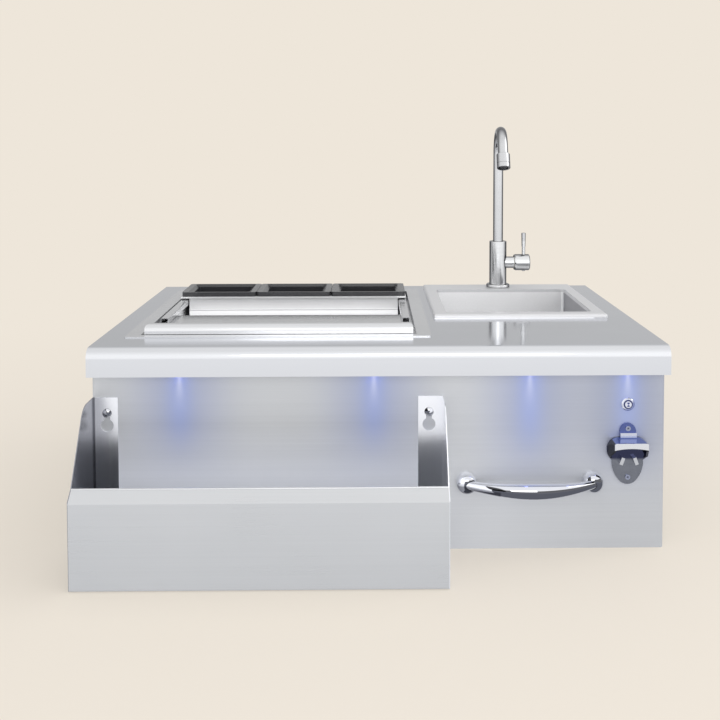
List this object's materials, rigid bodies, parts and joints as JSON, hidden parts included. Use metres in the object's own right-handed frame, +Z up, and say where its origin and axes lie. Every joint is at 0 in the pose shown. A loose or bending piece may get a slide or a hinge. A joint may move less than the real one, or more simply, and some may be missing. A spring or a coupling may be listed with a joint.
{
  "type": "bar sink with ice bin",
  "caption": "Countertop bar station: steel deck with faucet and sink, ice bin with sliding lid and condiment trays, speed rail, towel bar, bottle opener and under-edge lights.",
  "frame": {"origin": "middle of the case's underside: X and Y at the middle of the deck, Z at the surface that the case stands on", "axes": "+X to the user's right along the deck, +Y from the front towards the back, +Z up"},
  "size_m": [1.016, 0.762, 0.7505],
  "materials": {
    "brushed_steel": "brushed",
    "blasted_steel": "satin",
    "plain_steel": "mill",
    "fastener_steel": "polished",
    "chrome": "polished",
    "satin_nickel": "fine brushed",
    "brass": "turned",
    "black_plastic": "gloss",
    "nylon": "matte",
    "black_rubber": "matte",
    "foam": "cellular",
    "steel_pin": "ground",
    "light_lens": "clear"
  },
  "bodies": {
    "case": {"deck_top": "brushed_steel", "deck_brace": "plain_steel", "front_panel": "brushed_steel", "side_panel_left": "brushed_steel", "side_panel_right": "brushed_steel", "back_panel": "brushed_steel", "bottom_panel": "plain_steel", "case_screws": "fastener_steel", "ice_bin_liner": "brushed_steel", "ice_bin_insulation": "foam", "ice_bin_outer_shell": "plain_steel", "bin_drain_fitting": "plain_steel", "bin_drain_nut": "chrome", "bin_drain_strainer": "chrome", "bin_rail_left": "brushed_steel", "bin_rail_right": "brushed_steel", "sink_bowl": "brushed_steel", "sink_rim_seal": "black_rubber", "sink_clips": "plain_steel", "sink_strainer": "chrome", "sink_drain_gasket": "black_rubber", "sink_ring_nut": "chrome", "sink_tailpiece": "chrome", "sink_slip_nut": "chrome", "faucet_seal": "black_rubber", "faucet_base_ring": "satin_nickel", "faucet_body": "satin_nickel", "faucet_shank": "brass", "faucet_mount_nut": "brass", "spout_bush": "nylon", "valve_neck": "satin_nickel", "valve_cartridge": "nylon", "speed_rail_studs": "chrome", "towel_bar": "chrome", "towel_bar_posts": "chrome", "bottle_opener": "chrome", "opener_screws": "fastener_steel", "light_bezel": "chrome", "light_switch": "black_plastic", "lights": "light_lens", "light_driver": "black_plastic", "light_wiring": "black_rubber"},
    "lid": {"bin_lid": "brushed_steel", "lid_handle": "brushed_steel", "lid_glides": "nylon"},
    "tray_carrier": {"tray_holder": "brushed_steel", "holder_pads": "black_rubber"},
    "left_tray": {"tray_left": "black_plastic"},
    "middle_tray": {"tray_middle": "black_plastic"},
    "right_tray": {"tray_right": "black_plastic"},
    "basket": {"sink_basket": "chrome"},
    "swivel_spout": {"spout": "satin_nickel", "aerator": "satin_nickel"},
    "turret": {"cartridge_turret": "chrome", "handle_pin": "steel_pin"},
    "handle": {"faucet_handle": "satin_nickel", "faucet_lever": "satin_nickel"},
    "speed_rail": {"speed_rail_trough": "brushed_steel", "speed_rail_brackets": "blasted_steel"},
    "button": {"light_button": "chrome"}
  },
  "joints": [
    {"name": "lid_slide", "type": "slide", "parent": "case", "child": "lid", "axis": [0, 1, 0], "range_m": [0, 0.104]},
    {"name": "tray_carrier_slide", "type": "slide", "parent": "case", "child": "tray_carrier", "axis": [0, 1, 0], "range_m": [-0.11, 0]},
    {"name": "left_tray_lift", "type": "slide", "parent": "tray_carrier", "child": "left_tray", "axis": [0, 0, 1], "range_m": [0, 0.1]},
    {"name": "middle_tray_lift", "type": "slide", "parent": "tray_carrier", "child": "middle_tray", "axis": [0, 0, 1], "range_m": [0, 0.1]},
    {"name": "right_tray_lift", "type": "slide", "parent": "tray_carrier", "child": "right_tray", "axis": [0, 0, 1], "range_m": [0, 0.1]},
    {"name": "basket_lift", "type": "slide", "parent": "case", "child": "basket", "axis": [0, 0, 1], "range_m": [0, 0.1]},
    {"name": "spout_swivel", "type": "hinge", "parent": "case", "child": "swivel_spout", "pos_m": [0.287, 0.2605, 0.46], "axis": [0, 0, 1], "continuous": true},
    {"name": "handle_turn", "type": "hinge", "parent": "case", "child": "turret", "pos_m": [0.326, 0.2605, 0.4305], "axis": [1, 0, 0], "range_deg": [-45, 45]},
    {"name": "handle_tilt", "type": "hinge", "parent": "turret", "child": "handle", "pos_m": [0.326, 0.2605, 0.4305], "axis": [0, 1, 0], "range_deg": [0, 25]},
    {"name": "speed_rail_lift", "type": "slide", "parent": "case", "child": "speed_rail", "axis": [0, 0, 1], "range_m": [0, 0.022]},
    {"name": "button_press", "type": "slide", "parent": "case", "child": "button", "axis": [0, 1, 0], "range_m": [0, 0.0015], "stiffness_N_per_m": 500}
  ]
}
